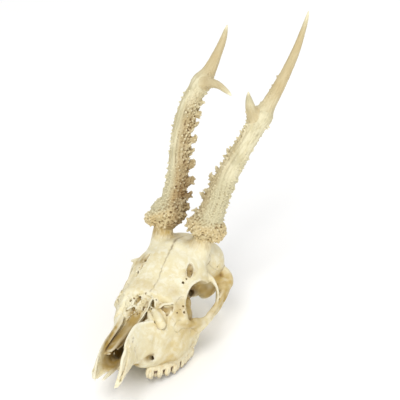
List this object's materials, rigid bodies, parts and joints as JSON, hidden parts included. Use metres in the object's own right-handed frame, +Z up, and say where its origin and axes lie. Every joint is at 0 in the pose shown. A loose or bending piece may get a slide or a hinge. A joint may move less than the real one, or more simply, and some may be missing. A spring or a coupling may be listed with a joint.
{
  "type": "roe deer skull with antlers",
  "caption": "Skull of a roe deer buck with forked, pearled antlers, a life-size bone model without a lower jaw, resting on its cheek teeth.",
  "frame": {"origin": "middle of the model's box on the surface that it rests on", "axes": "+X towards the animal's left, -Y the way the muzzle points, +Z up"},
  "size_m": [0.1226, 0.2559, 0.2763],
  "materials": {
    "bone": "dry cream bone, matte to faintly waxy, with ochre stains and fine sutures",
    "antler": "rough grey-cream antler with brown pearls and smooth pale points",
    "teeth": "worn cream enamel, slightly glossy, with dark stain between the cusps"
  },
  "bodies": {
    "root": {"antler_left_beam": "antler", "antler_left_point": "antler", "antler_left_tine": "antler", "antler_right_beam": "antler", "antler_right_point": "antler", "antler_right_tine": "antler", "braincase": "bone", "forehead": "bone", "upper_jaw": "bone", "cheekbone_left": "bone", "cheekbone_right": "bone", "muzzle_left": "bone", "muzzle_right": "bone", "teeth_left": "teeth", "teeth_right": "teeth"}
  },
  "joints": []
}
